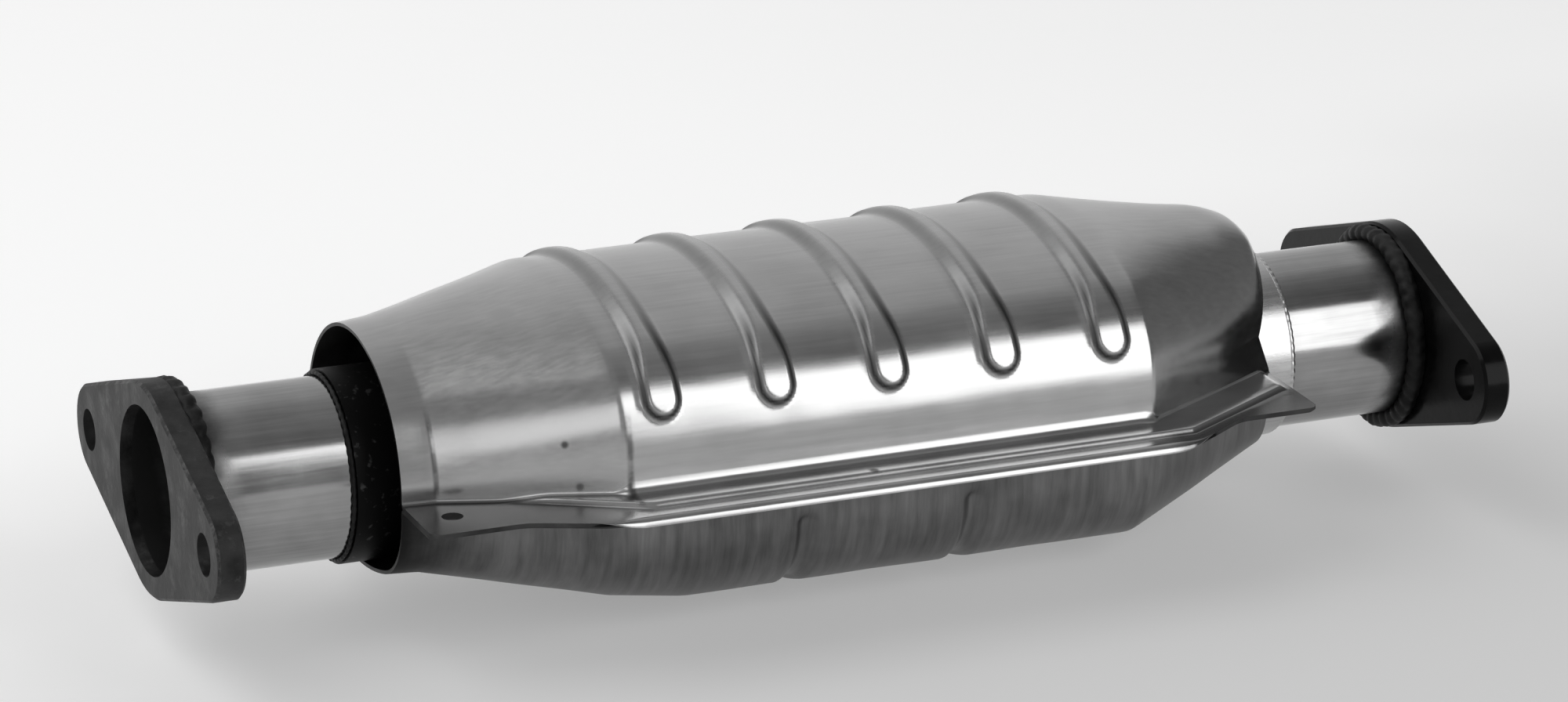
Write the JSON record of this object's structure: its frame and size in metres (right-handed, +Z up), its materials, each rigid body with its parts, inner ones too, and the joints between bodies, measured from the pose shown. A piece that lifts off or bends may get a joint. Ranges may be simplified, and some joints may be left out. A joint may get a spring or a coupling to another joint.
{
  "type": "catalytic converter",
  "caption": "Direct-fit exhaust catalytic converter: straight pipes with bolted oval flanges and a ribbed sheet-metal heat shield round an oval body.",
  "frame": {"origin": "centre of the inlet flange's gasket face, on the pipe axis", "axes": "+X along the pipes, the way the gas flows; +Y across, along the line of the bolt holes; +Z up, away from the lower heat shield; the seam lies in the XY plane"},
  "size_m": [0.384, 0.15, 0.0945],
  "materials": {
    "inlet_flange_steel": "dark oxidised plate steel",
    "outlet_flange_paint": "near-black gloss paint",
    "pipe_stainless": "satin stainless tube",
    "weld_steel": "dull weld metal",
    "shell_stainless": "pressed stainless sheet, mill finish",
    "brick_ceramic": "matt catalyst-coated honeycomb",
    "mat_fibre": "compressed ceramic fibre",
    "mesh_wire": "knitted stainless wire",
    "shield_steel": "bright rolled steel sheet with a soft sheen",
    "lower_shield_steel": "duller rolled steel sheet"
  },
  "bodies": {
    "root": {"inlet_flange": "inlet_flange_steel", "inlet_pipe": "pipe_stainless", "inlet_flange_weld": "weld_steel", "inlet_neck_weld": "weld_steel", "upper_shell": "shell_stainless", "lower_shell": "shell_stainless", "left_seam_weld": "weld_steel", "right_seam_weld": "weld_steel", "front_monolith": "brick_ceramic", "rear_monolith": "brick_ceramic", "front_mat": "mat_fibre", "rear_mat": "mat_fibre", "front_mesh_seal": "mesh_wire", "rear_mesh_seal": "mesh_wire", "upper_heat_shield": "shield_steel", "lower_heat_shield": "lower_shield_steel", "outlet_neck_weld": "weld_steel", "outlet_pipe": "pipe_stainless", "outlet_flange_weld": "weld_steel", "outlet_flange": "outlet_flange_paint"}
  },
  "joints": []
}
